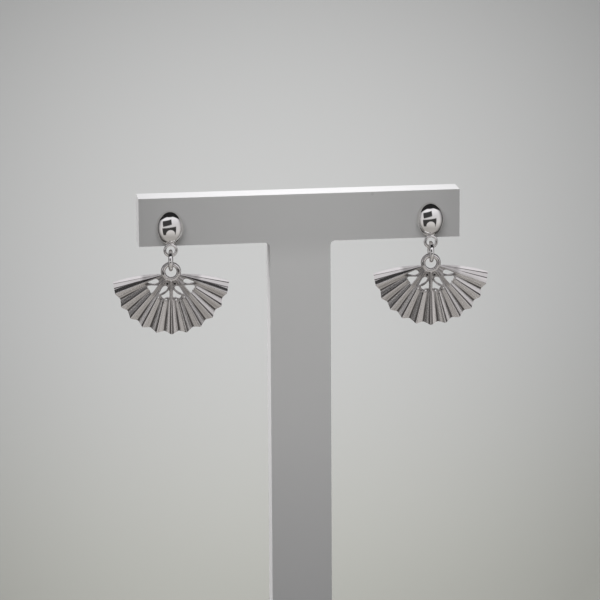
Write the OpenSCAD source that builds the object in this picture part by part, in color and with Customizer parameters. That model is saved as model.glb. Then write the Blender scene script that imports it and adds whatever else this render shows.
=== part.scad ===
// Pair of fan drop earrings on a plain white T-shaped display stand.
// Millimetres. The origin is the middle of the stand's underside, X runs along the bar,
// the earrings hang on the front, which faces -Y, and Z is up.

/* [Stand] */
// Length of the bar
bar_length = 56; // [52:0.5:80]
// Height of the bar
bar_height = 8.4; // [8:0.1:14]
// Width of the column
column_width = 10.6; // [6:0.1:14]
// Thickness of the T-shaped plate
plate_thickness = 4.7; // [4.5:0.1:7]
// Radius in the corners between bar and column
corner_radius = 0.8; // [0.3:0.1:3]
// Height of the whole stand
stand_height = 90; // [70:1:140]
// Length of the foot plate
base_length = 45; // [30:1:70]
// Depth of the foot plate
base_depth = 35; // [25:1:60]
// Thickness of the foot plate
base_thickness = 5; // [4:0.5:8]

/* [Stud] */
// Distance between the two posts
stud_spacing = 45.4; // [40:0.1:46]
// Height of the post above the bar's lower edge
stud_rise = 3.4; // [3.2:0.1:5]
// Width of the oval dome
stud_width = 4.8; // [4:0.1:6]
// Height of the oval dome
stud_height = 5.9; // [5.5:0.1:6.2]
// Depth of the dome in front of its widest section
stud_front = 1.9; // [1.5:0.1:2.2]
// Depth of the dome behind its widest section
stud_back = 0.75; // [0.6:0.05:0.9]
// Wire of the ring under the dome
stud_ring_wire = 0.52; // [0.45:0.01:0.6]
// Outer diameter of the ring under the dome
stud_ring_diameter = 2.5; // [2.4:0.05:2.8]
// Diameter of the post
post_diameter = 0.8; // [0.7:0.05:0.9]
// Length of the post
post_length = 10.8; // [9:0.1:12]

/* [Jump ring] */
// Wire of the jump ring
jump_wire = 0.8; // [0.7:0.01:0.85]
// Inner diameter of the jump ring
jump_hole = 2.25; // [2.15:0.05:2.6]
// Turn of each jump ring about the vertical, left and right
jump_turn = [-7, -2]; // [-7:1:7]

/* [Fan] */
// Outer diameter of the loop
loop_diameter = 3.5; // [3.4:0.05:3.8]
// Hole of the loop
loop_hole = 1.9; // [1.9:0.05:2.1]
// Thickness of the loop
loop_thickness = 1; // [0.8:0.05:1.1]
// Radius of the rim's circle
rim_radius = 10.05; // [9:0.05:11]
// Drop of the rim's circle below the loop
rim_drop = 1; // [0.3:0.05:1.2]
// Number of front ridges
ridges = 11; // [9:2:13]
// Angle from ridge to ridge
ridge_pitch = 13.7; // [11:0.1:13.7]
// Angle of the fan's tips from straight down
tip_angle = 79.3; // [76:0.1:82]
// Depth of the pleats at the rim
pleat_depth = 0.8; // [0.5:0.1:1.2]
// How far the ridges reach past the valleys at the rim
scallop = 0.5; // [0.1:0.05:0.6]
// Thickness of the leaf
leaf_thickness = 0.55; // [0.4:0.05:0.6]
// Turn of each fan about the vertical, left and right
fan_turn = [-6, -4]; // [-6:1:6]

/* [Openwork] */
// Inner radius of the openings
open_inner = 2.65; // [2.5:0.05:2.8]
// Outer radius of the openings
open_outer = 5.05; // [4.95:0.05:5.3]
// Angle at which the openings beside the middle spoke start
inner_start = 4.3; // [3.5:0.1:5]
// Angle at which the openings outside the thick spokes start
outer_start = 41.8; // [41:0.2:43]

/* [Ear nut] */
// Diameter of the ear nut's disc
nut_diameter = 4.6; // [4:0.1:6]
// Thickness of the ear nut's disc
nut_disc = 0.8; // [0.6:0.1:1.2]
// Length of the ear nut's barrel
nut_barrel = 1.9; // [1.5:0.1:2.5]

/* [Hidden] */
$fn = 96;
left = -1;
right = 1;

// running gaps between pieces that touch on the real object
seat_gap = 0.05;
ring_gap = 0.05;
loop_gap = 0.12;
slot_gap = 0.1;
slot_depth = 3;
hole_clearance = 0.15;
nut_clearance = 0.03;

front_y = -plate_thickness / 2;
bar_bottom = stand_height - bar_height;
stud_z = bar_bottom + stud_rise;
dome_y = front_y - seat_gap - stud_back;

// the ring under the dome is let into the dome's lower side
ring_wire_r = stud_ring_wire / 2;
ring_r = stud_ring_diameter / 2 - ring_wire_r;
ring_sink = 0.18;
ring_depth = 0.62;
ring_y = dome_y - ring_depth;
ring_z = stud_z - stud_height / 2 - stud_ring_diameter / 2 + ring_sink
    + stud_height / 2 * (1 - sqrt(1 - pow(ring_depth / stud_front, 2)));
hinge_z = ring_z - ring_r;

// the jump ring hangs on the lowest wire of the stud's ring, and the fan on the jump ring
jump_wire_r = jump_wire / 2;
jump_r = jump_hole / 2 + jump_wire_r;
jump_z = hinge_z + ring_wire_r + ring_gap - jump_hole / 2;
fan_hinge_z = jump_z - jump_r;
fan_z = fan_hinge_z + jump_wire_r + loop_gap - loop_hole / 2;

// facets of the dome
dome_sides = 36;
dome_rings = 11;

// point of the dome at an angle in front of its widest section and an angle around it
function dome_point(t, u) =
    [stud_width / 2 * cos(t) * cos(u), -stud_front * sin(t), stud_height / 2 * cos(t) * sin(u)];

// lines of the leaf, counted from one tip to the other: tip, ridge, valley, ridge ... ridge, tip
last_line = 2 * ridges;
leaf_rows = 5;
leaf_inner = 1.35;
tip_x = rim(tip_angle) * sin(tip_angle);
tip_z = rim(tip_angle) * cos(tip_angle);
guard_start = 0.45;
guard_bend = 2.4;

// distance from the loop's centre to the rim at an angle from straight down
function rim(a) = rim_drop * cos(a) + sqrt(pow(rim_radius, 2) - pow(rim_drop * sin(a), 2));

// point of the loop's plane at a radius and an angle from straight down
function polar(r, a) = [r * sin(a), -r * cos(a)];

function is_tip(i) = i == 0 || i == last_line;
function is_ridge(i) = i % 2 == 1;
function line_angle(i) = (i - ridges) * ridge_pitch / 2;
function line_rim(i) = rim(line_angle(i)) - (is_ridge(i) ? 0 : scallop);

// the fan's upper edge leaves the loop level and bends down to the tip
function guard_edge(x) = [x, -guard_start - (tip_z - guard_start) * pow(abs(x) / tip_x, guard_bend)];

function leaf_point(i, f) = is_tip(i)
    ? guard_edge(sign(i - ridges) * (leaf_inner + f * (tip_x - leaf_inner)))
    : polar(leaf_inner + f * (line_rim(i) - leaf_inner), line_angle(i));

// the pleats deepen evenly from the loop to the rim
function leaf_y(i, f) = -leaf_thickness / 2
    + (is_ridge(i) ? -1 : 1) * pleat_depth / 2 * norm(leaf_point(i, f)) / rim_radius;

function leaf_corner(i, j, back) = let (f = j / leaf_rows, p = leaf_point(i, f))
    [p[0], leaf_y(i, f) + back * leaf_thickness, p[1]];

// number of a leaf point: front or back side, line, row
function at(side, i, j) = (side * (last_line + 1) + i) * (leaf_rows + 1) + j;

// Outlines of the openings, as [radius, angle past the start]: the upper petals, which are alike,
// and the lower hearts, which differ at the pleats. A thin curved wire stays between petal and heart.
petal = [
    [open_inner + 0.18, 7.6], [open_inner, 11.6], [open_inner + 0.04, 18.6], [open_inner + 0.33, 23.8],
    [open_inner + 1, 24], [open_inner + 1.8, 23.6], [open_inner + 1.3, 16.8], [open_inner + 0.93, 12.4],
    [open_inner + 0.56, 9.2],
];
heart_top = [[open_inner + 1.4, 13.4], [open_inner + 1.1, 8.9], [open_inner + 0.8, 5.4], [open_inner + 0.7, 1.6]];
inner_heart = concat(heart_top, [
    [open_outer - 0.5, 0], [open_outer - 0.46, 4.6], [open_outer - 0.38, 8], [open_outer - 0.18, 10.8],
    [open_outer - 0.18, 13.8], [open_outer - 0.38, 17], [open_outer - 0.62, 17.5],
]);
outer_heart = concat(heart_top, [
    [open_outer, 0], [open_outer, 3.6], [open_outer - 0.12, 5.6], [open_outer - 0.04, 8.2],
    [open_outer - 0.14, 11.6], [open_outer - 0.12, 15], [open_outer - 0.34, 16.8], [open_outer - 0.62, 16.6],
]);
// tiny gaps where the pleats begin beside the middle spoke: [radius, angle past the start, size]
pin_holes = [[open_outer - 0.05, 5.4, 0.16], [open_outer - 0.07, 22.2, 0.13]];
cut_depth = 4;

module across_bar(side) {
    translate([side * stud_spacing / 2, 0, 0])
        children();
}

module stand_outline() {
    translate([-bar_length / 2, bar_bottom])
        square([bar_length, bar_height]);
    translate([-column_width / 2, base_thickness - slot_depth + slot_gap])
        square([column_width, stand_height - base_thickness + slot_depth - slot_gap]);
    for (side = [left, right])
        difference() {
            translate([side * column_width / 2 - (side < 0 ? corner_radius : 0), bar_bottom - corner_radius])
                square(corner_radius);
            translate([side * (column_width / 2 + corner_radius), bar_bottom - corner_radius])
                circle(corner_radius);
        }
}

module stand_tee() {
    color("whitesmoke")
        difference() {
            translate([0, plate_thickness / 2, 0])
                rotate([90, 0, 0])
                    linear_extrude(plate_thickness)
                        stand_outline();
            for (side = [left, right])
                across_bar(side)
                    translate([0, plate_thickness, stud_z])
                        rotate([90, 0, 0])
                            cylinder(r = post_diameter / 2 + hole_clearance, h = 2 * plate_thickness);
        }
}

module stand_base() {
    slot_x = column_width + 2 * slot_gap;
    slot_y = plate_thickness + 2 * slot_gap;
    color("whitesmoke")
        difference() {
            translate([-base_length / 2, -base_depth / 2, 0])
                cube([base_length, base_depth, base_thickness]);
            translate([-slot_x / 2, -slot_y / 2, base_thickness - slot_depth])
                cube([slot_x, slot_y, slot_depth + 1]);
        }
}

module wire_ring(radius, wire_radius) {
    rotate_extrude()
        translate([radius, 0])
            circle(wire_radius);
}

// Oval dome, flat behind: rings of points from the back's edge to the front pole
module stud_dome() {
    back_angle = asin(stud_back / stud_front);
    points = concat(
        [for (k = [0 : dome_rings - 1], i = [0 : dome_sides - 1])
            dome_point(-back_angle + k * (90 + back_angle) / dome_rings, i * 360 / dome_sides)],
        [[0, -stud_front, 0]]
    );
    back_face = [for (i = [0 : dome_sides - 1]) i];
    walls = [for (k = [0 : dome_rings - 2], i = [0 : dome_sides - 1])
        let (a = k * dome_sides, n = (i + 1) % dome_sides)
            each [[a + i, a + dome_sides + i, a + dome_sides + n], [a + i, a + dome_sides + n, a + n]]];
    cap = [for (i = [0 : dome_sides - 1]) let (a = (dome_rings - 1) * dome_sides)
        [a + i, len(points) - 1, a + (i + 1) % dome_sides]];
    polyhedron(points, concat([back_face], walls, cap), convexity = 4);
}

module stud(side) {
    tip_round = post_diameter / 4;
    color("silver")
        across_bar(side) {
            translate([0, dome_y, stud_z])
                stud_dome();
            translate([0, dome_y, stud_z])
                rotate([-90, 0, 0]) {
                    cylinder(d = post_diameter, h = stud_back + post_length - tip_round);
                    translate([0, 0, stud_back + post_length - tip_round])
                        cylinder(d1 = post_diameter, d2 = post_diameter - 2 * tip_round, h = tip_round);
                }
            translate([0, ring_y, ring_z])
                rotate([90, 0, 0])
                    wire_ring(ring_r, ring_wire_r);
        }
}

module jump_ring(side) {
    color("silver")
        across_bar(side)
            translate([0, ring_y, jump_z])
                rotate([0, 0, jump_turn[side > 0 ? 1 : 0]])
                    rotate([0, 90, 0])
                        wire_ring(jump_r, jump_wire_r);
}

module fan_loop() {
    edge = loop_thickness / 4;
    inner = loop_hole / 2;
    outer = loop_diameter / 2;
    half = loop_thickness / 2;
    rotate([90, 0, 0])
        rotate_extrude() {
            translate([inner + edge, -half])
                square([outer - inner - 2 * edge, loop_thickness]);
            translate([inner, -half + edge])
                square([outer - inner, loop_thickness - 2 * edge]);
            for (x = [inner + edge, outer - edge], y = [-half + edge, half - edge])
                translate([x, y])
                    circle(edge);
        }
}

// Pleated leaf: two like sheets of flat facets, one behind the other, closed along their edges
module leaf() {
    corners = [for (side = [0, 1], i = [0 : last_line], j = [0 : leaf_rows]) leaf_corner(i, j, side)];
    front = [for (i = [0 : last_line - 1], j = [0 : leaf_rows - 1])
        [at(0, i, j), at(0, i, j + 1), at(0, i + 1, j + 1), at(0, i + 1, j)]];
    back = [for (i = [0 : last_line - 1], j = [0 : leaf_rows - 1])
        [at(1, i, j), at(1, i + 1, j), at(1, i + 1, j + 1), at(1, i, j + 1)]];
    ends = [for (i = [0 : last_line - 1]) each [
        [at(0, i, 0), at(0, i + 1, 0), at(1, i + 1, 0), at(1, i, 0)],
        [at(0, i, leaf_rows), at(1, i, leaf_rows), at(1, i + 1, leaf_rows), at(0, i + 1, leaf_rows)],
    ]];
    sides = [for (j = [0 : leaf_rows - 1]) each [
        [at(0, 0, j), at(1, 0, j), at(1, 0, j + 1), at(0, 0, j + 1)],
        [at(0, last_line, j), at(0, last_line, j + 1), at(1, last_line, j + 1), at(1, last_line, j)],
    ]];
    quads = concat(front, back, ends, sides);
    polyhedron(corners, [for (q = quads) each [[q[2], q[1], q[0]], [q[3], q[2], q[0]]]], convexity = 8);
}

module opening(outline, start) {
    polygon([for (p = outline) polar(p[0], start + p[1])]);
}

module openwork() {
    rotate([90, 0, 0])
        linear_extrude(cut_depth, center = true)
            for (flip = [0, 1])
                mirror([flip, 0]) {
                    opening(petal, inner_start);
                    opening(inner_heart, inner_start);
                    opening(petal, outer_start);
                    opening(outer_heart, outer_start);
                    for (p = pin_holes)
                        translate(polar(p[0], inner_start + p[1]))
                            circle(p[2]);
                }
}

// Short rays cast below the loop, one over the middle spoke and one at each thick spoke
module rays() {
    ray_angle = 34;
    ray_inner = loop_diameter / 2 - 0.2;
    ray_outer = open_inner + 0.1;
    foot = 0.24;
    head = 0.12;
    relief = 0.55;
    rotate([90, 0, 0])
        linear_extrude(relief)
            for (a = [-ray_angle, 0, ray_angle])
                rotate(a)
                    polygon([[-foot, -ray_inner], [foot, -ray_inner], [head, -ray_outer], [-head, -ray_outer]]);
}

module fan(side) {
    color("silver")
        across_bar(side)
            translate([0, ring_y, fan_z])
                rotate([0, 0, fan_turn[side > 0 ? 1 : 0]])
                    difference() {
                        union() {
                            leaf();
                            fan_loop();
                            rays();
                        }
                        openwork();
                        rotate([90, 0, 0])
                            cylinder(d = loop_hole, h = cut_depth, center = true);
                    }
}

module ear_nut(side) {
    bore = post_diameter / 2 + nut_clearance;
    barrel_r = nut_diameter / 4;
    color("silver")
        across_bar(side)
            translate([0, plate_thickness / 2 + seat_gap, stud_z])
                rotate([-90, 0, 0])
                    difference() {
                        union() {
                            cylinder(d = nut_diameter, h = nut_disc);
                            cylinder(r = barrel_r, h = nut_disc + nut_barrel);
                        }
                        translate([0, 0, -1])
                            cylinder(r = bore, h = nut_disc + nut_barrel + 2);
                    }
}

stand_tee();
stand_base();
stud(left);  // stud_left
jump_ring(left);  // jump_ring_left
fan(left);  // fan_left
ear_nut(left);  // ear_nut_left
stud(right);  // stud_right
jump_ring(right);  // jump_ring_right
fan(right);  // fan_right
ear_nut(right);  // ear_nut_right
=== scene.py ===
"""Looks of a pair of fan drop earrings on a T-bar stand: polished studs, links and pleated fans, and their studio."""

import math

import bmesh
import bpy
import numpy as np
from bpy.props import FloatProperty, FloatVectorProperty, IntProperty, PointerProperty
from mathutils import Matrix, Vector


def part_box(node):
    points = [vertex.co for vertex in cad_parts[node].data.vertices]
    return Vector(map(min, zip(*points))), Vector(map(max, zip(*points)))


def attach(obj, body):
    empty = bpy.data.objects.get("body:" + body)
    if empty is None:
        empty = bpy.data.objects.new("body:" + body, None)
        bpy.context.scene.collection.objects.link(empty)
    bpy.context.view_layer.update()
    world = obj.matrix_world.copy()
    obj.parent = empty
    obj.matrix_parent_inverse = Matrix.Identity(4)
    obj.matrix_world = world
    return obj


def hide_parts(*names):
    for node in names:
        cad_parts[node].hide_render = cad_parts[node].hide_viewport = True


bl_info = {
    "name": "Fan Drop Earrings on a Stand",
    "version": (1, 0, 0),
    "blender": (4, 5, 0),
    "location": "View3D > Sidebar > Fan Earrings",
    "description": "Builds the looks of a pair of fan drop earrings on their display stand",
    "category": "Add Mesh",
}

MM = 0.001
DEGREES = math.degrees(1)
SIDES = ("left", "right")

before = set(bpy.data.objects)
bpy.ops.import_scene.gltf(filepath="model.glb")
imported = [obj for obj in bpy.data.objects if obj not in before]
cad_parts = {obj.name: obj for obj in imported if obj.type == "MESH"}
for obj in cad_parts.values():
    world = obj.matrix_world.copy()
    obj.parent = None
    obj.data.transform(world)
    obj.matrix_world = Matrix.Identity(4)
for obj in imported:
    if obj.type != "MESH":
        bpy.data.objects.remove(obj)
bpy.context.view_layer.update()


def middle(node):
    """Middle of a CAD node's box."""
    low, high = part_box(node)
    return (low + high) / 2


# ---------------------------------------------------------------- sizes and colours


class StudSizes(bpy.types.PropertyGroup):
    width: FloatProperty(name="Dome width", description="Width of the oval dome", default=4.8 * MM, unit="LENGTH")
    height: FloatProperty(name="Dome height", description="Height of the oval dome", default=5.9 * MM, unit="LENGTH")
    front: FloatProperty(
        name="Dome front", description="Depth in front of the widest section", default=1.9 * MM, unit="LENGTH"
    )
    back: FloatProperty(
        name="Dome back", description="Depth behind the widest section", default=0.75 * MM, unit="LENGTH"
    )
    ring_wire: FloatProperty(
        name="Ring wire", description="Wire of the ring under the dome", default=0.52 * MM, unit="LENGTH"
    )
    ring_width: FloatProperty(
        name="Ring width", description="Outer diameter of the ring under the dome", default=2.5 * MM, unit="LENGTH"
    )
    ring_depth: FloatProperty(
        name="Ring depth", description="How far the ring sits in front of the widest section", default=0.62 * MM,
        unit="LENGTH",
    )
    post: FloatProperty(name="Post", description="Diameter of the post", default=0.8 * MM, unit="LENGTH")


class LinkSizes(bpy.types.PropertyGroup):
    wire: FloatProperty(name="Wire", description="Wire of the jump ring", default=0.8 * MM, unit="LENGTH")
    wear: FloatProperty(
        name="Wear", description="How much thinner the wire is rubbed", default=0.02 * MM, unit="LENGTH"
    )
    turn_left: FloatProperty(
        name="Left turn", description="Turn of the left ring about the vertical", default=math.radians(-7),
        subtype="ANGLE",
    )
    turn_right: FloatProperty(
        name="Right turn", description="Turn of the right ring about the vertical", default=math.radians(-2),
        subtype="ANGLE",
    )


class FanSizes(bpy.types.PropertyGroup):
    loop_width: FloatProperty(name="Loop", description="Outer diameter of the loop", default=3.5 * MM, unit="LENGTH")
    loop_hole: FloatProperty(name="Loop hole", description="Hole of the loop", default=1.9 * MM, unit="LENGTH")
    loop_depth: FloatProperty(name="Loop depth", description="Thickness of the loop", default=1.0 * MM, unit="LENGTH")
    rim_radius: FloatProperty(
        name="Rim radius", description="Radius of the rim's circle", default=10.05 * MM, unit="LENGTH"
    )
    rim_drop: FloatProperty(
        name="Rim drop", description="Drop of the rim's circle below the loop", default=1.0 * MM, unit="LENGTH"
    )
    ridges: IntProperty(name="Ridges", description="Number of front ridges", default=11, min=9, max=13)
    pitch: FloatProperty(
        name="Ridge pitch", description="Angle from ridge to ridge", default=math.radians(13.7), subtype="ANGLE"
    )
    tip: FloatProperty(
        name="Tip angle", description="Angle of the tips from straight down", default=math.radians(79.3),
        subtype="ANGLE",
    )
    pleat: FloatProperty(
        name="Pleat depth", description="Depth of the pleats at the rim", default=0.5 * MM, unit="LENGTH"
    )
    scallop: FloatProperty(
        name="Scallop", description="How far the ridges pass the valleys", default=0.5 * MM, unit="LENGTH"
    )
    leaf: FloatProperty(name="Leaf", description="Thickness of the leaf", default=0.55 * MM, unit="LENGTH")
    turn_left: FloatProperty(
        name="Left turn", description="Turn of the left fan about the vertical", default=math.radians(-6),
        subtype="ANGLE",
    )
    turn_right: FloatProperty(
        name="Right turn", description="Turn of the right fan about the vertical", default=math.radians(-4),
        subtype="ANGLE",
    )


class Finishes(bpy.types.PropertyGroup):
    silver: FloatVectorProperty(
        name="Silver", description="Colour of the polished metal", default=(0.86, 0.845, 0.83), subtype="COLOR"
    )
    cast: FloatVectorProperty(
        name="Cast silver", description="Colour of the fans' duller metal", default=(0.78, 0.755, 0.74), subtype="COLOR"
    )
    # the colour of the tarnish in the fans' folds, and of the painted shade on the fans
    tarnish_and_shade: FloatVectorProperty(
        name="Tarnish and shade", description="Colour of the metal in its folds", default=(0.1, 0.092, 0.088), subtype="COLOR"
    )
    acrylic: FloatVectorProperty(
        name="Acrylic", description="Colour of the stand", default=(0.88, 0.874, 0.882), subtype="COLOR"
    )
    paper: FloatVectorProperty(
        name="Paper", description="Colour of the floor", default=(0.529, 0.531, 0.527), subtype="COLOR"
    )
    paper_near: FloatVectorProperty(
        name="Near paper", description="Colour of the floor towards the viewer", default=(0.529, 0.531, 0.4905),
        subtype="COLOR",
    )


class StudioSettings(bpy.types.PropertyGroup):
    lens: FloatProperty(name="Lens", description="Focal length on a 36 mm sensor", default=210.0, min=50, max=400)
    distance: FloatProperty(
        name="Distance", description="Distance from the camera to the stand", default=609 * MM, unit="LENGTH"
    )
    yaw: FloatProperty(
        name="Yaw", description="Turn of the view to the right", default=math.radians(7.44), subtype="ANGLE"
    )
    pitch: FloatProperty(
        name="Pitch", description="Dip of the view below level", default=math.radians(13.04), subtype="ANGLE"
    )
    roll: FloatProperty(
        name="Roll", description="Turn of the picture", default=math.radians(-0.34), subtype="ANGLE"
    )
    aim: FloatVectorProperty(
        name="Aim", description="Point in the middle of the picture", default=(-0.1 * MM, -2.35 * MM, 71.21 * MM),
        subtype="TRANSLATION",
    )


GROUPS = {
    "fan_earrings_stud": StudSizes,
    "fan_earrings_link": LinkSizes,
    "fan_earrings_fan": FanSizes,
    "fan_earrings_finish": Finishes,
    "fan_earrings_studio": StudioSettings,
}


# ---------------------------------------------------------------- mesh helpers


def mesh_piece(name, points, faces):
    """Object from points in metres and faces."""
    mesh = bpy.data.meshes.new(name)
    mesh.from_pydata([tuple(p) for p in points], [], faces)
    mesh.validate()
    mesh.update()
    piece = bpy.data.objects.new(name, mesh)
    bpy.context.scene.collection.objects.link(piece)
    return piece


def solid_piece(name, points, faces):
    """Closed piece whose faces all look outward."""
    piece = mesh_piece(name, points, faces)
    shape = bmesh.new()
    shape.from_mesh(piece.data)
    bmesh.ops.recalc_face_normals(shape, faces=shape.faces)
    shape.to_mesh(piece.data)
    shape.free()
    return piece


def grid_faces(rows, columns, wrap_rows=False, wrap_columns=False, start=0):
    """Quads of a grid of points laid out row by row."""
    faces = []
    for i in range(rows if wrap_rows else rows - 1):
        for j in range(columns if wrap_columns else columns - 1):
            k, n = (i + 1) % rows, (j + 1) % columns
            corners = (i * columns + j, k * columns + j, k * columns + n, i * columns + n)
            faces.append(tuple(start + corner for corner in corners))
    return faces


def tube_faces(rings, sides):
    """Walls and both ends of a tube whose points are laid out ring by ring."""
    last = (rings - 1) * sides
    ends = [tuple(range(sides)), tuple(range(last, last + sides))[::-1]]
    return grid_faces(rings, sides, wrap_columns=True) + ends


def turns(count):
    """Angles that divide a full turn evenly."""
    return np.linspace(0, 2 * math.pi, count, endpoint=False)


def circle(radius, sides, x=0.0, z=0.0):
    """Outline of a circle about a point."""
    return [(x + radius * math.cos(t), z + radius * math.sin(t)) for t in turns(sides)]


def oval(width, depth, sides=20, square=2.0):
    """Closed section: an ellipse, squarer as its exponent grows."""

    def bent(share):
        return math.copysign(abs(share) ** (2 / square), share)

    return [(width / 2 * bent(math.cos(t)), depth / 2 * bent(math.sin(t))) for t in turns(sides)]


def smooth_path(points, steps, closed=False):
    """Points along a smooth curve through the given ones."""
    p = [np.array(q, float) for q in points]
    count = len(p)
    found = []
    for i in range(count if closed else count - 1):
        if closed:
            a, b, c, d = (p[(i + k) % count] for k in (-1, 0, 1, 2))
        else:
            a, b, c, d = p[max(i - 1, 0)], p[i], p[i + 1], p[min(i + 2, count - 1)]
        square, cube = 2 * a - 5 * b + 4 * c - d, 3 * b - 3 * c + d - a
        for t in np.linspace(0, 1, steps, endpoint=False):
            found.append(0.5 * (2 * b + (c - a) * t + square * t**2 + cube * t**3))
    if not closed:
        found.append(p[-1])
    return found


def ring_piece(name, radius, section, segments=72):
    """Ring about the Y axis, from a closed section of (out from the wire's middle, along Y) points."""
    points = [
        ((radius + out) * math.sin(a), along, (radius + out) * math.cos(a))
        for a in turns(segments)
        for out, along in section
    ]
    return solid_piece(name, points, grid_faces(segments, len(section), wrap_rows=True, wrap_columns=True))


def wire_piece(name, path, radii, sides=10):
    """Round wire through points, with a radius at each and domed ends."""
    end_reach, end_radius = 0.7, 0.45
    path = [Vector(p) for p in path]
    radii = [float(r) for r in radii]
    first, last = (path[0] - path[1]).normalized(), (path[-1] - path[-2]).normalized()
    path = [path[0] + first * radii[0] * end_reach, *path, path[-1] + last * radii[-1] * end_reach]
    radii = [radii[0] * end_radius, *radii, radii[-1] * end_radius]
    points, normal = [], Vector((0, 1, 0))
    for i, here in enumerate(path):
        along = (path[min(i + 1, len(path) - 1)] - path[max(i - 1, 0)]).normalized()
        normal = (normal - along * normal.dot(along)).normalized()
        across = along.cross(normal)
        for k in range(sides):
            t = 2 * math.pi * k / sides
            points.append(here + radii[i] * (math.cos(t) * normal + math.sin(t) * across))
    return solid_piece(name, points, tube_faces(len(path), sides))


def ball(name, centre, radius, stretch=(1, 1, 1)):
    """Closed ball, stretched along the axes."""
    rings, columns = 8, 16
    points = [(0, 0, radius)]
    points += [
        (radius * math.sin(t) * math.cos(u), radius * math.sin(t) * math.sin(u), radius * math.cos(t))
        for t in np.linspace(0, math.pi, rings + 2)[1:-1]
        for u in turns(columns)
    ]
    points.append((0, 0, -radius))
    bottom = len(points) - 1
    lowest_ring = bottom - columns
    faces = grid_faces(rings, columns, wrap_columns=True, start=1)
    faces += [(0, 1 + i, 1 + (i + 1) % columns) for i in range(columns)]
    faces += [(bottom, lowest_ring + (i + 1) % columns, lowest_ring + i) for i in range(columns)]
    return solid_piece(name, [Vector(p) * Vector(stretch) + Vector(centre) for p in points], faces)


def fuse(piece, others, operation):
    """Joins other closed solids to a piece, or cuts them out of it, and deletes them."""
    for other in others:
        step = piece.modifiers.new(operation, "BOOLEAN")
        step.object = other
        step.operation = operation
        step.solver = "MANIFOLD"
    evaluated = piece.evaluated_get(bpy.context.evaluated_depsgraph_get())
    mesh = bpy.data.meshes.new_from_object(evaluated)
    piece.modifiers.clear()
    piece.data = mesh
    for other in others:
        bpy.data.objects.remove(other)
    if not piece.data.polygons:
        raise RuntimeError(f"{piece.name} has no faces left")


def polish(piece, material):
    """Smooth faces with crisp edges, all in one material."""
    crisp_edge = math.radians(38)
    faces = piece.data.polygons
    faces.foreach_set("use_smooth", [True] * len(faces))
    faces.foreach_set("material_index", [0] * len(faces))
    piece.data.set_sharp_from_angle(angle=crisp_edge)
    piece.data.materials.clear()
    piece.data.materials.append(material)


# ---------------------------------------------------------------- shader helpers


class Socket:
    """A node's output, with arithmetic that adds Math nodes."""

    def __init__(self, nodes, link):
        self.nodes = nodes
        self.link = link

    def math(self, operation, *others):
        return self.nodes.math(operation, self, *others)

    def __add__(self, other):
        return self.math("ADD", other)

    def __sub__(self, other):
        return self.math("SUBTRACT", other)

    def __rsub__(self, other):
        return self.nodes.math("SUBTRACT", other, self)

    def __mul__(self, other):
        return self.math("MULTIPLY", other)

    def __truediv__(self, other):
        return self.math("DIVIDE", other)

    def __rtruediv__(self, other):
        return self.nodes.math("DIVIDE", other, self)

    def __pow__(self, other):
        return self.math("POWER", other)

    def __neg__(self):
        return 0 - self

    def __abs__(self):
        return self.math("ABSOLUTE")

    def at_least(self, low):
        return self.math("MAXIMUM", low)

    def at_most(self, high):
        return self.math("MINIMUM", high)

    __radd__ = __add__
    __rmul__ = __mul__


class Nodes:
    """Node tree of a material or world."""

    def __init__(self, owner):
        owner.use_nodes = True
        self.tree = owner.node_tree
        self.tree.nodes.clear()

    def add(self, kind, settings=None, values=None, output=0):
        """Adds a node, sets it up and returns one of its outputs."""
        node = self.tree.nodes.new(kind)
        for name, value in (settings or {}).items():
            setattr(node, name, value)
        for name, value in (values or {}).items():
            socket = node.inputs[name]
            if isinstance(value, Socket):
                self.tree.links.new(value.link, socket)
            else:
                socket.default_value = value
        return Socket(self, node.outputs[output]) if node.outputs else None

    def math(self, operation, *values):
        return self.add("ShaderNodeMath", {"operation": operation}, dict(enumerate(values)))

    def place(self):
        """Position on the object."""
        return self.add("ShaderNodeTexCoord", output="Object")

    def parts(self, vector):
        """The three numbers of a vector."""
        node = self.add("ShaderNodeSeparateXYZ", values={0: vector}).link.node
        return [Socket(self, output) for output in node.outputs]

    def noise(self, scale, detail, roughness=0.5, vector=None):
        values = {"Vector": vector or self.place(), "Scale": scale, "Detail": detail, "Roughness": roughness}
        return self.add("ShaderNodeTexNoise", values=values)

    def between(self, value, low, high):
        """0 at low, 1 at high, and smooth in between."""
        values = {"Value": value, "From Min": low, "From Max": high}
        return self.add("ShaderNodeMapRange", {"interpolation_type": "SMOOTHSTEP"}, values)

    def band(self, value, start, full, fade, end):
        """1 from full to fade, 0 before start and past end, and smooth in between."""
        return self.between(value, start, full) * (1 - self.between(value, fade, end))

    def mix(self, factor, first, second):
        """Blend of two colours."""
        values = {0: factor, 6: colour(first), 7: colour(second)}
        return self.add("ShaderNodeMix", {"data_type": "RGBA"}, values, output=2)

    def bump(self, height, strength, distance):
        return self.add("ShaderNodeBump", values={"Strength": strength, "Distance": distance, "Height": height})

    def finish(self, shader):
        self.add("ShaderNodeOutputMaterial", values={"Surface": shader})

    def finish_principled(self, values):
        self.finish(self.add("ShaderNodeBsdfPrincipled", values=values))


def colour(value):
    return value if isinstance(value, Socket) else (*value[:3], 1)


def shade(tone, share):
    """A colour darkened to a share of its light."""
    return [share * c for c in tone]


def new_material(name):
    material = bpy.data.materials.new(name)
    return material, Nodes(material)


def shared_material(name, make):
    """The material of that name, made where it isn't there yet."""
    return bpy.data.materials.get(name) or make()


# ---------------------------------------------------------------- finishes

DUST_COLOUR = (0.42, 0.41, 0.4)
# near-black painted shade inside the fans' pits
PIT_SHADE_COLOUR = (0.07, 0.065, 0.06)


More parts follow.
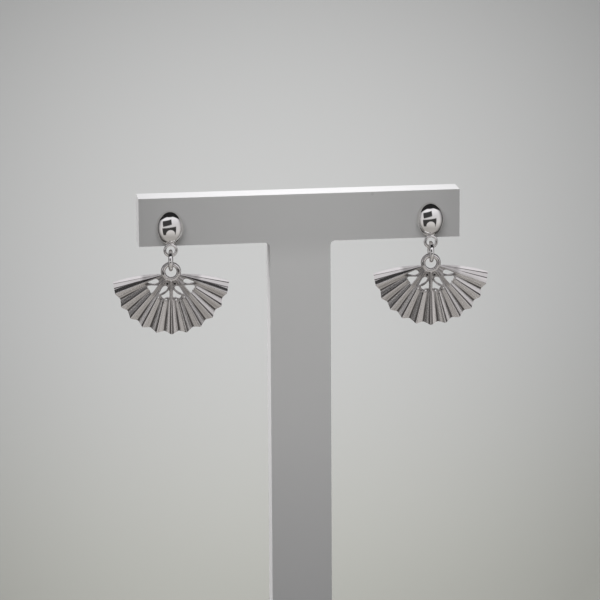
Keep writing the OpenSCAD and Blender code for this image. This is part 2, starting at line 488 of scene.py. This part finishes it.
def silver_material():
    """Polished silver: nearly a mirror, with faint waves, fine rubbing marks and thin grey clouds."""
    material, nodes = new_material("polished_silver")
    silver = bpy.context.scene.fan_earrings_finish.silver
    cloud = nodes.between(nodes.noise(700, 3), 0.35, 0.7)
    marks = nodes.between(nodes.noise(2600, 3), 0.4, 0.8)
    nodes.finish_principled({
        "Base Color": nodes.mix(cloud, silver, shade(silver, 0.94)),
        "Metallic": 1.0,
        "Roughness": 0.045 + 0.05 * marks,
        "Normal": nodes.bump(nodes.noise(420, 2), 0.25, 0.02 * MM),
    })
    return material


def cast_material():
    """Cast silver of the fans: streaks along the pleats, grey lines of tarnish and painted shade in the folds, painted
    shade on the guards, in the openwork and along the loop's edges, and pits painted near-black as shade.
    """
    material, nodes = new_material("cast_silver")
    sizes = bpy.context.scene.fan_earrings_fan
    finish = bpy.context.scene.fan_earrings_finish
    x, y, z = nodes.parts(nodes.place())

    # millimetres from the loop's middle, and degrees from straight down
    radius = (x * x + z * z) ** 0.5 / MM
    angle = x.math("ARCTAN2", -z) * DEGREES
    half = math.degrees(sizes.pitch) / 2
    last_ridge = (sizes.ridges - 1) * half
    inside = angle.at_least(-last_ridge).at_most(last_ridge)
    off_ridge = inside.math("PINGPONG", half)
    past_ridge = abs(inside).math("MODULO", 2 * half)
    off_loop = nodes.between(radius, 1.8, 2.1)
    pleats = nodes.between(radius, 4.6, 5.6)
    guard = nodes.between(abs(angle), last_ridge - 1, last_ridge + 2)
    pleated = 1 - guard

    # dark lines: tarnish and painted shade in the valleys, and painted shade at the step beside each ridge, along each
    # guard's seam and under its upper edge
    valley = nodes.between(off_ridge, half - 1.2, half - 0.7) * (0.5 + 0.5 * nodes.between(radius, 5.5, 8.0))
    # painted shade at the small step just past each ridge
    groove = nodes.band(past_ridge, 0.35, 0.6, 1.7, 2.1)
    past_seam = abs(angle) - GUARD_SEAM
    seam = (1 - nodes.between(abs(past_seam), 0.4, 0.8)) * nodes.between(radius, 4.0, 6.5)
    crease_tarnish_shade = (valley + groove) * pleats * pleated + 0.9 * seam
    # painted shade on each guard's upper band, and a painted dark line under its upper edge, fainter on the fan's left
    # half
    top_band_shade = nodes.band(past_seam, 0.4, 1.2, 4.4, 4.8)
    top_line_shade = nodes.band(past_seam, 3.7, 4.0, 4.5, 4.9) * nodes.between(radius, 3.0, 6.0)
    fainter_left = 0.45 + 0.55 * nodes.between(angle, -1, 1)

    pits = 0.0
    for r, a, size in PITS:
        pit_x, pit_z = fan_polar(r * MM, a)
        away = ((abs(x) - pit_x) ** 2 + (z - pit_z) ** 2) ** 0.5
        pits = pits + (1 - nodes.between(away, 0.7 * size * MM, 1.5 * size * MM))

    along_pleats = nodes.add("ShaderNodeCombineXYZ", values={0: angle * 0.9, 1: radius * 0.22, 2: y / MM * 0.5})
    streaks = nodes.noise(1.0, 4, 0.6, along_pleats)
    fine = nodes.noise(3.2, 3, 0.6, along_pleats)
    cloud = nodes.between(nodes.noise(500, 3), 0.3, 0.75)
    # painted shade in the openwork's recesses and along the loop's inner and outer edges
    openwork = off_loop * (1 - pleats)
    loop_edge_shade = nodes.between(abs(radius - 1.35), 0.2, 0.4) * (1 - off_loop)
    # the casting's streaks and the valleys' tarnish, with painted shade on the guards, in the folds, in the openwork
    # and along the loop's edges
    grime_and_shade = (
        0.22 * nodes.between(streaks, 0.5, 0.78)
        + 0.25 * top_band_shade
        + 0.92 * (crease_tarnish_shade + top_line_shade * fainter_left)
        + (0.35 + 0.15 * cloud) * openwork
        + 0.4 * loop_edge_shade
    )
    tone = nodes.mix(grime_and_shade.at_most(1.0), finish.cast, finish.tarnish_and_shade)
    # the pits painted near-black as their shade
    tone = nodes.mix(pits.at_most(1.0), tone, PIT_SHADE_COLOUR)

    # in the light the castings lean back about 5 degrees
    lean_slope = -0.0875
    lean = lean_slope * radius * (inside * math.radians(1)).math("COSINE")
    relief = 0.011 * (streaks + 0.4 * fine) * (1 - 0.85 * guard)
    nodes.finish_principled({
        "Base Color": tone,
        "Metallic": 1 - 0.08 * pleated,
        "Roughness": 0.08 + (0.1 + 0.14 * fine) * pleated + 0.15 * crease_tarnish_shade + 0.3 * pits,
        "Normal": nodes.bump(relief + lean, 1.0, MM),
    })
    return material


def acrylic_material():
    """White moulded plastic: soft gloss, a faint grain, pale clouds, a few specks of dust and painted shade on the bar
    and column.
    """
    material, nodes = new_material("white_acrylic")
    acrylic = bpy.context.scene.fan_earrings_finish.acrylic
    place = nodes.place()
    x, _, z = nodes.parts(place)
    cloud = nodes.between(nodes.noise(60, 3, vector=place), 0.3, 0.75)
    tone = nodes.mix(cloud * 0.5, acrylic, shade(acrylic, 0.965))

    # painted shade: darker to both ends of the bar, down the column, all over the bar and on the column's left side
    to_ends = ((x - 2 * MM) / (28 * MM)) ** 2
    down = nodes.between(-z, -62 * MM, -2 * MM)
    bar = nodes.between(z, 77 * MM, 83 * MM)
    normal = nodes.parts(nodes.add("ShaderNodeNewGeometry", output="Normal"))
    leftward = (-normal[0]).at_least(0.0)
    painted_shade = 0.48 * to_ends + 0.52 * down + 0.27 * bar + 0.32 * leftward * (1 - bar)
    tone = nodes.mix(painted_shade, tone, shade(acrylic, 0.6))

    speck_field = nodes.add("ShaderNodeTexVoronoi", {"feature": "F1"}, {"Vector": place, "Scale": 75.0})
    speck_places = nodes.between(nodes.noise(31, 1, vector=place), 0.5, 0.62)
    specks = (1 - nodes.between(speck_field, 0.012, 0.03)) * speck_places
    nodes.finish_principled({
        "Base Color": nodes.mix(specks * 0.35, tone, DUST_COLOUR),
        "Roughness": 0.42 + 0.1 * cloud,
        "Specular IOR Level": 0.3,
        "Normal": nodes.bump(nodes.noise(1800, 3, vector=place), 0.1, 0.01 * MM),
    })
    return material


def paper_material():
    """Pale matt paper with a painted pool of light: lightest along a strip that runs back from the stand, with painted
    shade beside it and in front.
    """
    material, nodes = new_material("floor_paper")
    finish = bpy.context.scene.fan_earrings_finish
    x, y, _ = nodes.parts(nodes.place())
    nearest = -0.39
    along = y.at_least(nearest)

    # the strip leans to the right and widens to the back
    lean, width, spread = 0.1306, 0.0527, 0.0893
    across = (x - lean * along) / (width + spread * along)
    # grows towards the viewer, from 0 at 0.31 m behind the stand to 1.3 beside it
    front = 2.2946 / (along + 0.5907) - 2.5476

    # painted shade that deepens away from the lit strip, beside it and towards the viewer
    reach = ((across + 0.04) / 2.25) ** 2 + ((front + 0.611) / 3.5) ** 2
    deepest = 0.48
    light_falloff = (1.39 * (1 - 1 / reach.math("EXPONENT"))).at_most(deepest)
    tone = nodes.mix(nodes.between(front, 0.0, 1.2), finish.paper, finish.paper_near)
    nodes.finish_principled({
        "Base Color": nodes.mix(light_falloff, tone, (0, 0, 0)),
        "Roughness": 0.9,
        "Specular IOR Level": 0.1,
        "Normal": nodes.bump(nodes.noise(240, 4), 0.05, 0.05 * MM),
    })
    return material


def tent_material():
    """What the polished metal mirrors: white walls, a dark ceiling and the dark shapes in front of the table."""
    material, nodes = new_material("tent_walls")
    x, y, z = nodes.parts(nodes.add("ShaderNodeVectorMath", {"operation": "NORMALIZE"}, {0: nodes.place()}))

    # degrees to the right of straight in front of the stand, and above the studs' level
    turn = x.math("ARCTAN2", -y) * DEGREES
    rise = z.math("ARCSINE") * DEGREES
    away = abs(turn)

    def above(value, level, soft=2.5):
        return nodes.between(value - level, -soft, soft)

    def within(value, low, high):
        return above(value, low) * (1 - above(value, high))

    ceiling = 54 - 34 * nodes.between(away, 30, 110) + 20 * nodes.between(away, 145, 165)
    walls = 1 - above(rise, ceiling, 4)
    dark_sides = nodes.band(away, 62, 108, 148, 164)
    brightness = 0.4 + 0.28 * nodes.between(rise, -50, -15) + 0.24 * nodes.between(rise, 5, 45)
    brightness = brightness * (1 - 0.88 * dark_sides) * walls

    tilt = 0.18 * turn
    box = within(turn, -53 - 0.6 * (rise - 6), 12) * within(rise, 8.6 + tilt, 37.4 + tilt)
    arch = within(turn, -56.5, 41) * within(rise, -37, -2.0 + 0.07 * turn)
    under_arch = ((turn - 3) / 36) ** 2 + ((rise + 42) / 29) ** 2
    arch = arch * above(under_arch, 1, 0.12)
    brightness = brightness * (1 - 0.96 * (box + arch)) + 0.02

    tint = nodes.mix(nodes.between(rise, -60, 30), (1.0, 0.965, 0.93), (0.98, 0.97, 1.01))
    nodes.finish(nodes.add("ShaderNodeEmission", values={"Color": nodes.mix(brightness, (0, 0, 0), tint)}))
    material.cycles.emission_sampling = "NONE"
    return material


def card_material():
    """Card that is black from above and not there from below."""
    material, nodes = new_material("black_card")
    underside = nodes.add("ShaderNodeNewGeometry", output="Backfacing")
    black = nodes.add("ShaderNodeBsdfDiffuse", values={"Color": (0.06, 0.06, 0.06, 1)})
    clear = nodes.add("ShaderNodeBsdfTransparent")
    nodes.finish(nodes.add("ShaderNodeMixShader", values={0: underside, 1: black, 2: clear}))
    return material


# ---------------------------------------------------------------- studs and links


def dome_piece(name, sizes):
    """Oval dome about its widest section, flatter at the back."""
    rings, columns = 28, 64
    back_angle = math.asin(sizes.back / sizes.front)
    points = [
        (
            sizes.width / 2 * math.cos(t) * math.cos(u),
            -sizes.front * math.sin(t),
            sizes.height / 2 * math.cos(t) * math.sin(u),
        )
        for t in np.linspace(-back_angle, math.pi / 2, rings, endpoint=False)
        for u in turns(columns)
    ]
    points.append((0, -sizes.front, 0))
    pole = len(points) - 1
    front_ring = pole - columns
    faces = [*grid_faces(rings, columns, wrap_columns=True), tuple(range(columns))]
    faces += [(front_ring + i, pole, front_ring + (i + 1) % columns) for i in range(columns)]
    return solid_piece(name, points, faces)


def post_piece(radius, length):
    """Round post along Y, with a rounded end."""
    core, sides = 0.01 * MM, 28
    profile = [
        (core, 0), (radius, 0), (radius, length - radius / 2), (0.8 * radius, length - 0.18 * radius),
        (0.45 * radius, length), (core, length),
    ]
    points = [(out * math.cos(a), along, out * math.sin(a)) for out, along in profile for a in turns(sides)]
    return solid_piece("post", points, tube_faces(len(profile), sides))


def stud_piece(side, material):
    """Dome, ring and post as one soldered piece."""
    sizes = bpy.context.scene.fan_earrings_stud
    node = f"stud_{side}"
    low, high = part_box(node)
    dome_y = low.y + sizes.front
    dome_z = high.z - sizes.height / 2
    stud = dome_piece(f"polished_stud_{side}", sizes)
    ring_radius = (sizes.ring_width - sizes.ring_wire) / 2
    ring = ring_piece("ring", ring_radius, oval(sizes.ring_wire, sizes.ring_wire))
    ring.data.transform(Matrix.Translation((0, -sizes.ring_depth, low.z + sizes.ring_width / 2 - dome_z)))
    fuse(stud, [ring, post_piece(sizes.post / 2, high.y - dome_y)], "UNION")
    stud.data.transform(Matrix.Translation((middle(node).x, dome_y, dome_z)))
    polish(stud, material)
    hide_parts(node)
    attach(stud, "stand")


def jump_ring_piece(side, material):
    """Round wire ring, cut and pressed shut, with its fine joint turned to the back."""
    sizes = bpy.context.scene.fan_earrings_link
    node = f"jump_ring_{side}"
    low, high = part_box(node)
    radius = (high.z - low.z - sizes.wire) / 2
    wire = sizes.wire - sizes.wear
    segments, section = 96, oval(wire, wire, 24)
    # the joint is a hair-fine groove, its width in segments and its depth as a share of the wire
    joint, joint_width, joint_depth = 0.3 * segments, 0.7, 0.07
    points = []
    for k in range(segments):
        a = 2 * math.pi * k / segments
        pinch = 1 - joint_depth * math.exp(-(((k - joint) / joint_width) ** 2))
        for out, along in section:
            points.append((along * pinch, (radius + out * pinch) * math.sin(a), (radius + out * pinch) * math.cos(a)))
    faces = grid_faces(segments, len(section), wrap_rows=True, wrap_columns=True)
    ring = solid_piece(f"wire_link_{side}", points, faces)
    turn = getattr(sizes, f"turn_{side}")
    ring.data.transform(Matrix.Translation(middle(node)) @ Matrix.Rotation(turn, 4, "Z"))
    polish(ring, material)
    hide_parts(node)
    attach(ring, f"link_{side}")


# ---------------------------------------------------------------- fans

# openings beside a spoke, as (radius in mm, degrees past the spoke's edge)
PETAL = [
    (2.83, 7.6), (2.65, 11.6), (2.69, 18.6), (2.98, 23.8), (3.65, 24.6), (4.45, 23.8), (3.95, 16.8), (3.58, 12.4),
    (3.21, 9.2),
]
HEART_TOP = [(4.05, 13.4), (3.75, 8.9), (3.45, 5.4), (3.35, 1.6)]
INNER_HEART = [
    *HEART_TOP, (4.5, 0), (4.59, 4.6), (4.67, 8), (4.87, 10.8), (4.87, 13.8), (4.67, 17), (4.43, 17.5),
]
OUTER_HEART = [
    *HEART_TOP, (5.02, 0), (5.05, 3.6), (4.93, 5.6), (5.01, 8.2), (4.91, 11.6), (4.93, 15), (4.71, 16.8), (4.43, 16.6),
]
INNER_SPOKE, OUTER_SPOKE = 4.3, 41.8
OPENINGS = [(PETAL, INNER_SPOKE), (INNER_HEART, INNER_SPOKE), (PETAL, OUTER_SPOKE), (OUTER_HEART, OUTER_SPOKE)]

# raised wires between the openings, as (radius in mm, degrees from the middle spoke), each with its own radius in mm
INNER_WIRE = [(2.95, 7.0), (3.3, 11.0), (3.75, 15.2), (4.15, 20.0), (4.5, 25.4), (4.82, 23.6), (5.0, 19.5)]
OUTER_WIRE = [(3.05, 42.4), (3.35, 47.5), (3.72, 53.2), (4.2, 58.0), (4.66, 60.2), (5.08, 58.6)]
INNER_CURL = [(4.72, 5.4), (4.98, 7.2), (5.22, 9.8), (5.28, 13.2), (5.2, 16.8), (5.3, 20.4), (5.24, 24.4)]
SCROLLS = [(INNER_WIRE, 0.13), (OUTER_WIRE, 0.13), (INNER_CURL, 0.1)]
RAYS = (-34, 0, 34)

# pin holes and casting pits, as (radius in mm, degrees from the middle spoke, their own radius in mm)
PIN_HOLES = [(5.0, 9.7, 0.16), (4.98, 26.5, 0.13)]
PITS = [(5.62, 14.9, 0.13), (2.2, 17, 0.18)]

# seam between each guard's lower and upper band, in degrees from the middle spoke
GUARD_SEAM = 73.9


def fan_polar(radius, degrees):
    """Point in the fan's plane, by its distance from the loop's middle and its angle from straight down."""
    a = math.radians(degrees)
    return radius * math.sin(a), -radius * math.cos(a)


class Leaf:
    """Shape of the pleated leaf, in metres about the loop's middle."""

    inner = 1.35 * MM
    # the guards' upper edges leave the loop this far below its middle, and bend down to the tips
    guard_start = 0.45 * MM
    guard_bend = 2.4
    # (start, width) of a guard's three bands as shares of its width, and how steeply each rises
    guard_bands = (0, 0.42), (0.42, 0.08), (0.5, 0.5)
    lower_slope, lower_curve, seam_slope, upper_slope = 1.07, 2.0, 5.4, 4.1
    # the small step on a ridge's outer side: its height, and its start and width as shares of the pleat's side
    ridge_step, middle_step = 0.45, 0.25
    step_start, step_width = 0.07, 0.13

    def __init__(self, sizes):
        self.s = sizes
        self.lines = 2 * sizes.ridges
        self.tip_x = self.rim(sizes.tip) * math.sin(sizes.tip)
        self.tip_z = self.rim(sizes.tip) * math.cos(sizes.tip)

    def rim(self, a):
        """Distance of the rim from the loop's middle, at an angle from straight down."""
        s = self.s
        return s.rim_drop * math.cos(a) + math.sqrt(s.rim_radius**2 - (s.rim_drop * math.sin(a)) ** 2)

    def is_guard(self, i):
        """Whether segment i is one of the two plain guards."""
        return i in (0, self.lines - 1)

    def line_point(self, i, f):
        """Point on fold line i, at a share f of the way from the loop to the rim."""
        if i in (0, self.lines):
            x = math.copysign(self.inner + f * (self.tip_x - self.inner), i - 0.5)
            bend = (abs(x) / self.tip_x) ** self.guard_bend
            return np.array([x, -self.guard_start - (self.tip_z - self.guard_start) * bend])
        a = (i - self.s.ridges) * self.s.pitch / 2
        reach = self.rim(a) - (0 if i % 2 else self.s.scallop)
        r = self.inner + f * (reach - self.inner)
        return np.array([r * math.sin(a), -r * math.cos(a)])

    def width(self, i, f):
        """Width of segment i, at a share f of the way to the rim."""
        return np.linalg.norm(self.line_point(i, f) - self.line_point(i + 1, f))

    def fold(self, i, off_ridge):
        """Height of segment i: -1 on its ridge, 1 in its valley, with a small step on a ridge's outer side."""
        if self.is_guard(i):
            lower, seam, upper = (min(max(off_ridge - low, 0.0), size) for low, size in self.guard_bands)
            return (
                -1 + self.lower_slope * lower + self.lower_curve * lower**2
                + self.seam_slope * seam + self.upper_slope * upper
            )
        ridge, valley = (i, i + 1) if i % 2 else (i + 1, i)
        step = self.ridge_step if abs(ridge - self.s.ridges) < abs(valley - self.s.ridges) else 0.0
        if ridge == self.s.ridges:
            step = self.middle_step
        drop = min(max((off_ridge - self.step_start) / self.step_width, 0.0), 1.0)
        # a pleat's side is mostly rounded and a little straight
        slope = 0.4 * (1 - math.cos(math.pi * off_ridge)) + 0.2 * off_ridge
        return -1 + step * drop + (2 - step) * slope

    def point(self, line, f, back):
        """Point of the front or back sheet, line being a fold's number or between two."""
        i = min(int(line), self.lines - 1)
        t = line - i
        x, z = (1 - t) * self.line_point(i, f) + t * self.line_point(i + 1, f)
        off_ridge = abs(t - (0 if i % 2 else 1))
        depth = self.s.pleat / 2 * math.hypot(x, z) / self.s.rim_radius
        rise = depth
        if self.is_guard(i):
            # a guard's bands keep one slope from its tip to the loop
            rise = self.s.pleat / 2 * self.width(i, f) / self.width(i, 1)
        y = -self.s.leaf / 2 - depth + (self.fold(i, off_ridge) + 1) * rise + (self.s.leaf if back else 0)
        return (x, y, z)


def leaf_piece(name, leaf):
    """The pleated leaf: front and back sheets closed along their edges."""
    # shares of a segment's width, from its ridge, at which the sheets have points
    offsets = [0, 0.035, 0.07, 0.1, 0.135, 0.17, 0.2, 0.28, 0.37, 0.46, 0.55, 0.64, 0.73, 0.82, 0.91]
    guard_offsets = [0, 0.08, 0.16, 0.24, 0.32, 0.38, 0.42, 0.44, 0.46, 0.48, 0.5, 0.54, 0.64, 0.76, 0.88]
    lines = []
    for i in range(leaf.lines):
        off = guard_offsets if leaf.is_guard(i) else offsets
        steps = off if i % 2 else [0] + [1 - o for o in off[:0:-1]]
        lines += [i + o for o in steps]
    lines.append(leaf.lines)
    shares = np.linspace(0, 1, 26)
    points = [leaf.point(line, f, back) for back in (False, True) for line in lines for f in shares]
    n, m = len(lines), len(shares)
    sheet = n * m
    edges = [(i * m + j, (i + 1) * m + j) for i in range(n - 1) for j in (0, m - 1)]
    edges += [(i * m + j, i * m + j + 1) for j in range(m - 1) for i in (0, n - 1)]
    faces = grid_faces(n, m) + [f[::-1] for f in grid_faces(n, m, start=sheet)]
    faces += [(a, b, b + sheet, a + sheet) for a, b in edges]
    return solid_piece(name, points, faces)


def cutter(name, outline):
    """Closed solid that cuts an outline of (x, z) right through the leaf."""
    reach = 2 * MM
    count = len(outline)
    points = [(x, y, z) for y in (-reach, reach) for x, z in outline]
    faces = [tuple(range(count)), tuple(range(count, 2 * count))[::-1]]
    faces += [(i, (i + 1) % count, count + (i + 1) % count, count + i) for i in range(count)]
    return solid_piece(name, points, faces)


def fan_cutters(sizes):
    """Solids that cut the openings, pin holes, pits and bore."""
    bore_room = 1.01
    pit_y = -sizes.leaf / 2 - 0.1 * MM
    cuts = []
    for flip in (-1, 1):
        for outline, start in OPENINGS:
            corners = [fan_polar(r * MM, start + a) for r, a in outline]
            cuts.append(cutter("opening", smooth_path([(flip * x, z) for x, z in corners], 4, closed=True)))
        for r, a, size in PIN_HOLES:
            x, z = fan_polar(r * MM, a)
            cuts.append(cutter("pin_hole", circle(size * MM, 14, flip * x, z)))
        for r, a, size in PITS:
            x, z = fan_polar(r * MM, a)
            cuts.append(ball("pit", (flip * x, pit_y, z), size * MM, (1, 1.4, 1)))
    cuts.append(cutter("bore", circle(sizes.loop_hole / 2 * bore_room, 40)))
    return cuts


def fan_reliefs(sizes):
    """Loop, scrolls and rays that stand on the leaf."""
    front = -sizes.leaf / 2
    wall = (sizes.loop_width - sizes.loop_hole) / 2
    section = oval(wall, sizes.loop_depth, 28, 2.5)
    reliefs = [ring_piece("loop", sizes.loop_hole / 2 + wall / 2, section, 96)]
    for flip in (-1, 1):
        for wire, size in SCROLLS:
            corners = [fan_polar(r * MM, a) for r, a in smooth_path(wire, 5)]
            path = [(flip * x, front - 0.04 * MM, z) for x, z in corners]
            last = len(path) - 1
            radii = [size * MM * (0.8 + 0.2 * math.sin(math.pi * k / last)) for k in range(last + 1)]
            reliefs.append(wire_piece("scroll", path, radii))
    for a in RAYS:
        path, radii = [], []
        for share in np.linspace(0, 1, 7):
            x, z = fan_polar((1.62 + 1.15 * share) * MM, a)
            path.append((x, front - (0.1 - 0.05 * share) * MM, z))
            radii.append((0.25 - 0.12 * share) * MM)
        reliefs.append(wire_piece("ray", path, radii, 12))
    return reliefs


def fan_piece(side, material):
    """Loop, openwork and pleated leaf as one casting."""
    sizes = bpy.context.scene.fan_earrings_fan
    node = f"fan_{side}"
    _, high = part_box(node)
    fan = leaf_piece(f"pierced_fan_{side}", Leaf(sizes))
    fuse(fan, fan_cutters(sizes), "DIFFERENCE")
    fuse(fan, fan_reliefs(sizes), "UNION")
    ring = middle(f"jump_ring_{side}")
    place = Vector((ring.x, ring.y, high.z - sizes.loop_width / 2))
    turn = getattr(sizes, f"turn_{side}")
    fan.matrix_world = Matrix.Translation(place) @ Matrix.Rotation(turn, 4, "Z")
    polish(fan, material)
    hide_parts(node)
    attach(fan, f"drop_{side}")


# ---------------------------------------------------------------- studio


def add_camera(scene):
    """Camera at the studio's distance from its aim, turned, dipped and rolled."""
    studio = scene.fan_earrings_studio
    yaw, pitch, roll = studio.yaw, studio.pitch, studio.roll
    ahead = Vector((math.sin(yaw) * math.cos(pitch), math.cos(yaw) * math.cos(pitch), -math.sin(pitch)))
    right = Vector((math.cos(yaw), -math.sin(yaw), 0))
    up = right.cross(ahead)
    rolled_right = math.cos(roll) * right + math.sin(roll) * up
    rolled_up = math.cos(roll) * up - math.sin(roll) * right
    data = bpy.data.cameras.new("camera")
    data.lens = studio.lens
    data.sensor_width = 36
    data.clip_start = 0.01
    data.clip_end = 20
    camera = bpy.data.objects.new("camera", data)
    place = Matrix.Translation(Vector(studio.aim) - studio.distance * ahead)
    axes = Matrix((rolled_right, rolled_up, -ahead)).transposed()
    camera.matrix_world = place @ axes.to_4x4()
    scene.collection.objects.link(camera)
    scene.camera = camera


def add_floor():
    """Round paper floor that curves up into a wall all round."""
    segments, flat, radius, height = 96, 1.6, 2.2, 1.9
    bend = radius - flat
    profile = [(r, 0) for r in (0.001, 0.05, 0.2, 0.6, 1.2, flat)]
    profile += [(flat + bend * math.sin(t), (1 - math.cos(t)) * bend) for t in np.linspace(0.1, math.pi / 2, 12)]
    profile.append((radius, height))
    points = [(r * math.cos(a), r * math.sin(a), z) for r, z in profile for a in turns(segments)]
    faces = [tuple(range(segments)), *grid_faces(len(profile), segments, wrap_columns=True)]
    floor = mesh_piece("floor", points, faces)
    floor.data.polygons.foreach_set("use_smooth", [True] * len(floor.data.polygons))
    floor.data.materials.append(paper_material())
    # a hair below the foot's underside
    floor.location.z = -0.1 * MM
    floor.visible_glossy = False


def add_tent():
    """Ball about the earrings that only mirrors see."""
    radius, place = 3.0, (0, -2 * MM, 83 * MM)
    tent = ball("tent", (0, 0, 0), radius)
    tent.location = place
    tent.data.materials.append(tent_material())
    tent.visible_camera = tent.visible_diffuse = tent.visible_shadow = False
    tent.visible_transmission = tent.visible_volume_scatter = False


def add_card():
    """Dark card over the front of the foot, which only keeps the floor's glow off the column."""
    left, right, near, far, level = -0.1, 0.1, -0.16, -0.003, 0.008
    corners = [(left, near), (right, near), (right, far), (left, far)]
    card = mesh_piece("dark_card", [(x, y, level) for x, y in corners], [(0, 1, 2, 3)])
    card.data.materials.append(card_material())
    card.visible_camera = card.visible_glossy = card.visible_shadow = False


def add_light(name, place, target, size, energy):
    """Soft square light that no mirror sees."""
    data = bpy.data.lights.new(name, "AREA")
    data.size = size
    data.energy = energy
    light = bpy.data.objects.new(name, data)
    light.location = place
    light.rotation_euler = (Vector(target) - Vector(place)).to_track_quat("-Z", "Y").to_euler()
    light.visible_glossy = False
    bpy.context.scene.collection.objects.link(light)


def add_air(scene):
    """Faint even light from all round."""
    world = bpy.data.worlds.new("studio_air")
    scene.world = world
    nodes = Nodes(world)
    air = nodes.add("ShaderNodeBackground", values={"Color": (1, 1, 1.01, 1), "Strength": 0.25})
    nodes.add("ShaderNodeOutputWorld", values={"Surface": air})


# ---------------------------------------------------------------- operators


class FAN_OT_stage(bpy.types.Operator):
    """Set up the camera, the floor, the tent that the metal mirrors and the lights"""

    bl_idname = "fan_earrings.stage"
    bl_label = "Studio"

    def execute(self, context):
        scene = context.scene
        add_camera(scene)
        add_floor()
        add_tent()
        add_light("overhead", (0.15, 0.25, 1.3), (0, 0.2, 0), size=1.2, energy=14.0)
        add_light("front_fill", (-0.12, -0.42, 0.42), (0, 0, 0.08), size=0.5, energy=1.25)
        add_light("side_fill", (-1.5, 0.4, 0.8), (0, 0, 0.06), size=0.8, energy=19.5)
        add_card()
        add_air(scene)
        scene.view_settings.view_transform = "Standard"
        return {"FINISHED"}


def dress(node, material):
    """Gives a CAD node its material."""
    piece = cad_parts[node]
    piece.data.materials.clear()
    piece.data.materials.append(material)
    return piece


class FAN_OT_stand(bpy.types.Operator):
    """Finish the stand's T-shaped plate and its foot"""

    bl_idname = "fan_earrings.stand"
    bl_label = "Stand"

    def execute(self, context):
        for node in ("stand_tee", "stand_base"):
            plate = dress(node, shared_material("white_acrylic", acrylic_material))
            edge = plate.modifiers.new("edges", "BEVEL")
            edge.width = 0.12 * MM
            edge.segments = 3
            edge.limit_method = "ANGLE"
            edge.angle_limit = math.radians(50)
            edge.harden_normals = True
        return {"FINISHED"}


class FAN_OT_studs(bpy.types.Operator):
    """Build both polished studs"""

    bl_idname = "fan_earrings.studs"
    bl_label = "Studs"

    def execute(self, context):
        for side in SIDES:
            stud_piece(side, shared_material("polished_silver", silver_material))
        return {"FINISHED"}


class FAN_OT_links(bpy.types.Operator):
    """Build both jump rings"""

    bl_idname = "fan_earrings.links"
    bl_label = "Jump Rings"

    def execute(self, context):
        for side in SIDES:
            jump_ring_piece(side, shared_material("polished_silver", silver_material))
        return {"FINISHED"}


class FAN_OT_fans(bpy.types.Operator):
    """Build both pierced and pleated fans"""

    bl_idname = "fan_earrings.fans"
    bl_label = "Fans"

    def execute(self, context):
        for side in SIDES:
            fan_piece(side, shared_material("cast_silver", cast_material))
        return {"FINISHED"}


class FAN_OT_nuts(bpy.types.Operator):
    """Finish both ear nuts"""

    bl_idname = "fan_earrings.nuts"
    bl_label = "Ear Nuts"

    def execute(self, context):
        for side in SIDES:
            dress(f"ear_nut_{side}", shared_material("polished_silver", silver_material))
        return {"FINISHED"}


OPERATORS = [FAN_OT_stage, FAN_OT_stand, FAN_OT_studs, FAN_OT_links, FAN_OT_fans, FAN_OT_nuts]


class FAN_PT_panel(bpy.types.Panel):
    """Lists the steps that build the earrings"""

    bl_idname = "FAN_PT_panel"
    bl_label = "Fan Earrings"
    bl_space_type = "VIEW_3D"
    bl_region_type = "UI"
    bl_category = "Fan Earrings"

    def draw(self, context):
        for operator in OPERATORS:
            self.layout.operator(operator.bl_idname)
        for name, group in GROUPS.items():
            box = self.layout.box()
            for field in group.__annotations__:
                box.prop(getattr(context.scene, name), field)


def register():
    for group in GROUPS.values():
        bpy.utils.register_class(group)
    for name, group in GROUPS.items():
        setattr(bpy.types.Scene, name, PointerProperty(type=group))
    for operator in [*OPERATORS, FAN_PT_panel]:
        bpy.utils.register_class(operator)


def unregister():
    for operator in [FAN_PT_panel, *reversed(OPERATORS)]:
        bpy.utils.unregister_class(operator)
    for name in GROUPS:
        delattr(bpy.types.Scene, name)
    for group in reversed(list(GROUPS.values())):
        bpy.utils.unregister_class(group)


def main():
    """Builds everything."""
    register()
    for operator in OPERATORS:
        area, name = operator.bl_idname.split(".")
        getattr(getattr(bpy.ops, area), name)()


if __name__ == "__main__":
    main()
